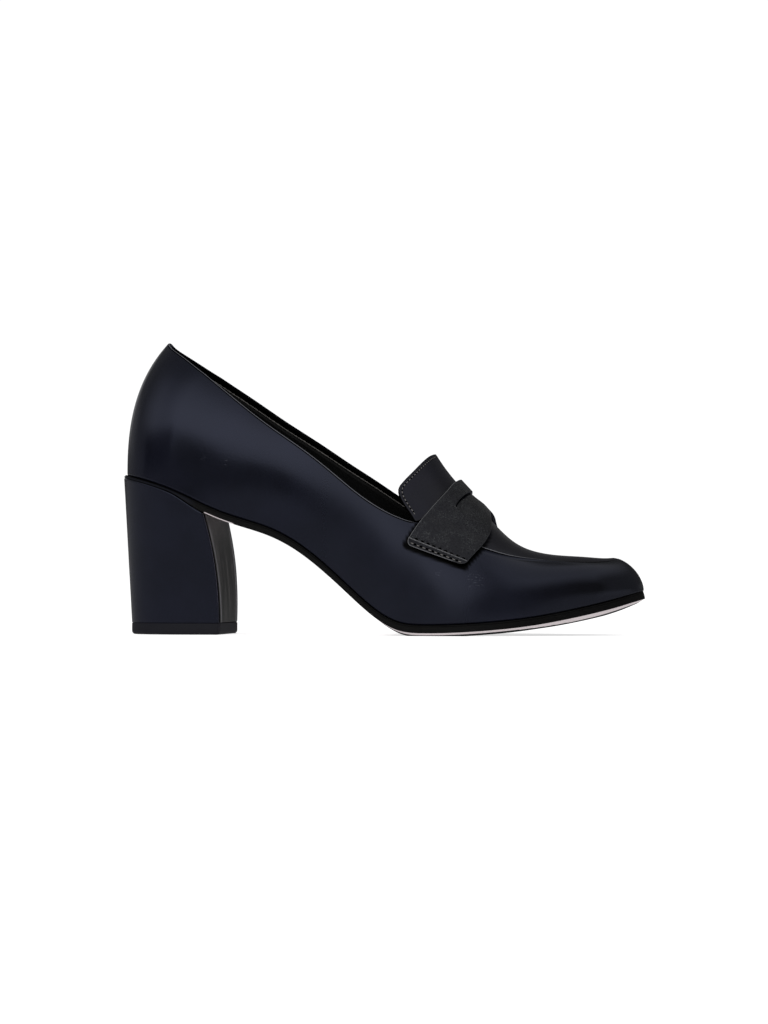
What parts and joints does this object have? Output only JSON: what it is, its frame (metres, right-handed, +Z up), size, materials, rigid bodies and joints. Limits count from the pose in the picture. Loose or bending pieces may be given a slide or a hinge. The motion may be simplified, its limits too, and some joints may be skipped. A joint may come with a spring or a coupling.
{
  "type": "loafer pump",
  "caption": "Women's leather loafer pump with a covered block heel, raised apron seam, tongue tab and slotted saddle strap.",
  "frame": {"origin": "centre of the shoe's plan, on the floor", "axes": "+X to the toe, +Y to the inner (medial) side, +Z up"},
  "size_m": [0.2392, 0.0786, 0.1324],
  "materials": {
    "navy_black_leather": "smooth polished calf, very dark navy, soft broad highlights",
    "tongue_leather": "the same calf on the tongue tab, slightly greyer",
    "strap_leather": "charcoal black calf with a fine grain and two stitch rows at its ends",
    "lining_leather": "matt black lining and sock leather",
    "sole_leather": "black painted sole edge, pale leather bevel and tread",
    "black_rubber": "matt black rubber top piece"
  },
  "bodies": {
    "root": {"upper": "navy_black_leather", "tongue": "tongue_leather", "strap": "strap_leather", "insole": "lining_leather", "outsole": "sole_leather", "heel_block": "navy_black_leather", "top_piece": "black_rubber"}
  },
  "joints": []
}
